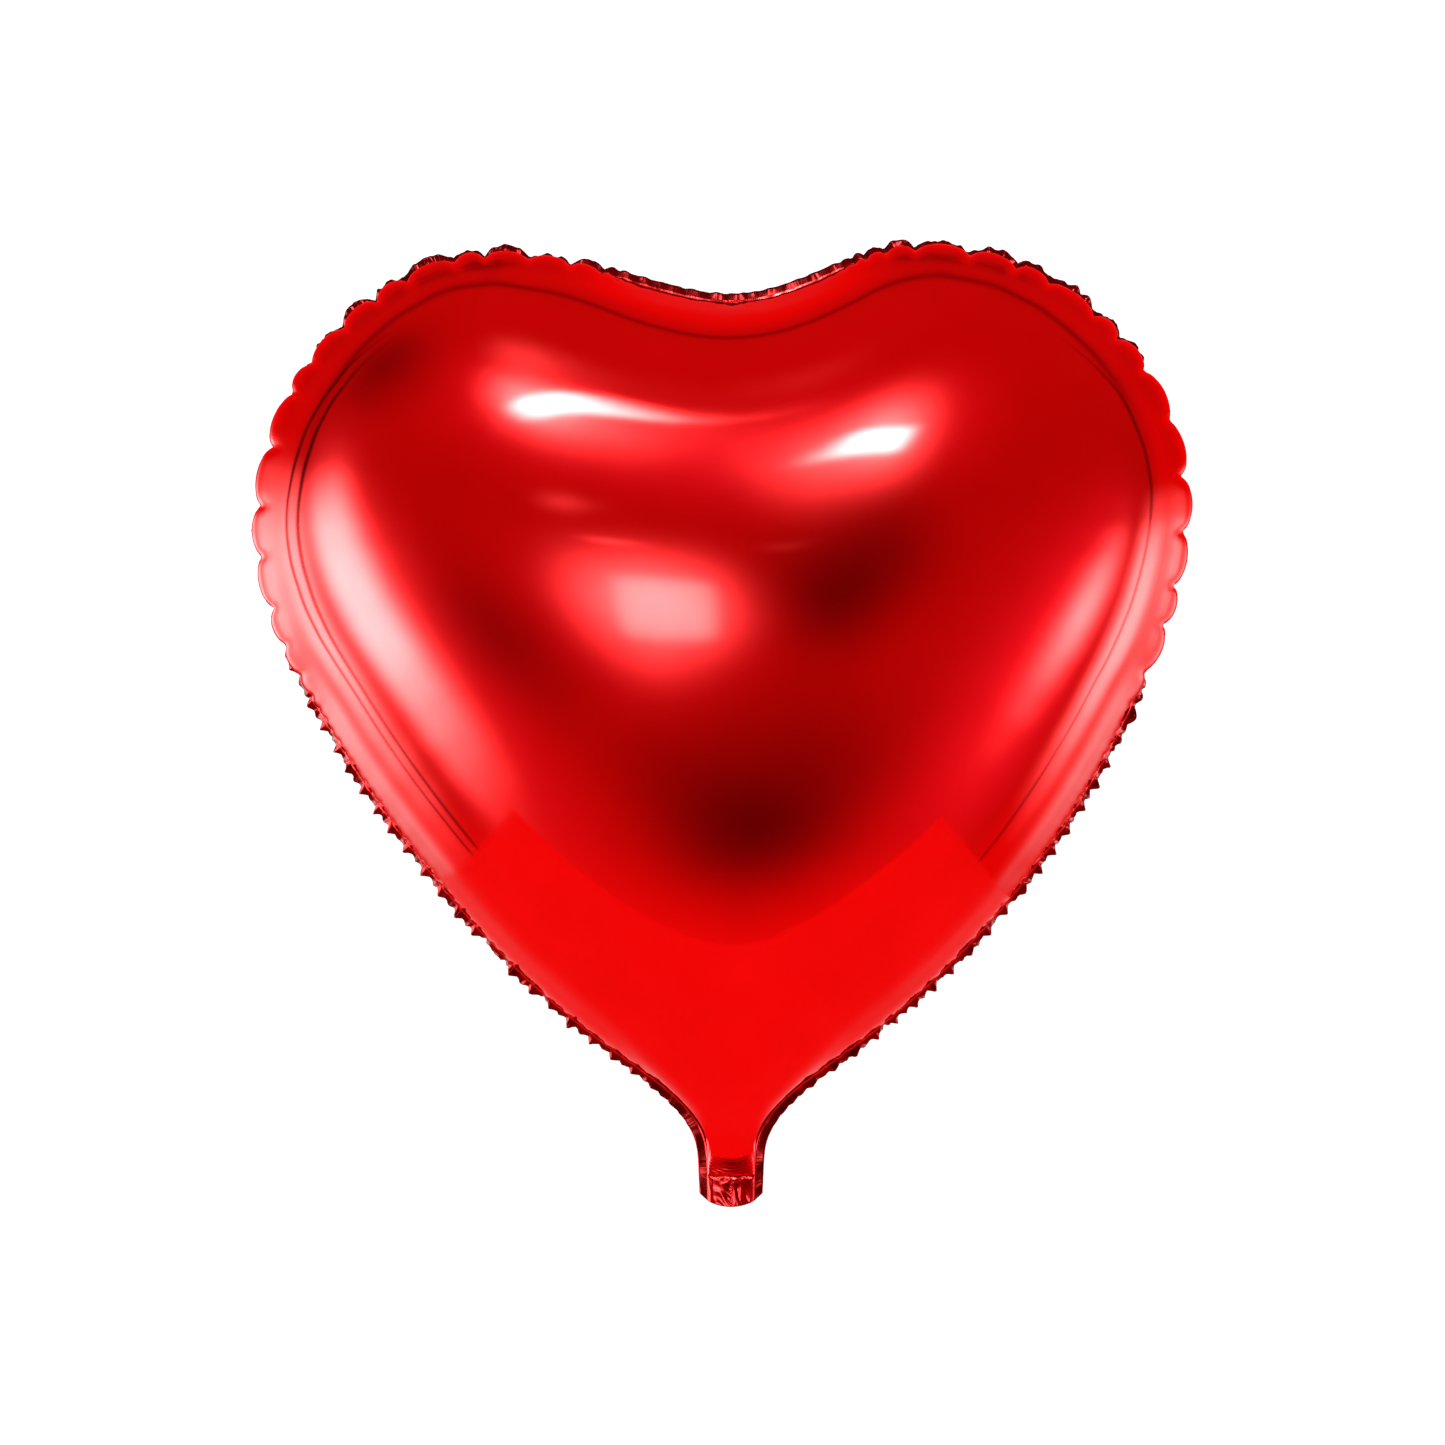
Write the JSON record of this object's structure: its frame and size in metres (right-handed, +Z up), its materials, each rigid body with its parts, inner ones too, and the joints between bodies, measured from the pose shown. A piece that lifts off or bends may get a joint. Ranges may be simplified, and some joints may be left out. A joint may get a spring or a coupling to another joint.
{
  "type": "heart-shaped foil balloon",
  "caption": "Inflated heart-shaped foil balloon of heat-sealed film panels, with a puckered rim and a short filling tail that holds a flat self-sealing valve.",
  "frame": {"origin": "middle of the neck, on the seam plane, where a ribbon is tied", "axes": "+Z up from the neck to the heart's notch, -Y towards the front, X across the heart"},
  "size_m": [0.3845, 0.1872, 0.3965],
  "materials": {
    "foil_front": "mirror-bright red metallised film, crinkled along the sealed border",
    "foil_back": "mirror-bright red metallised film, crinkled along the sealed border",
    "clear_film": "thin clear glossy film"
  },
  "bodies": {
    "root": {"front_panel": "foil_front", "back_panel": "foil_back", "valve_film_front": "clear_film", "valve_film_back": "clear_film"}
  },
  "joints": []
}
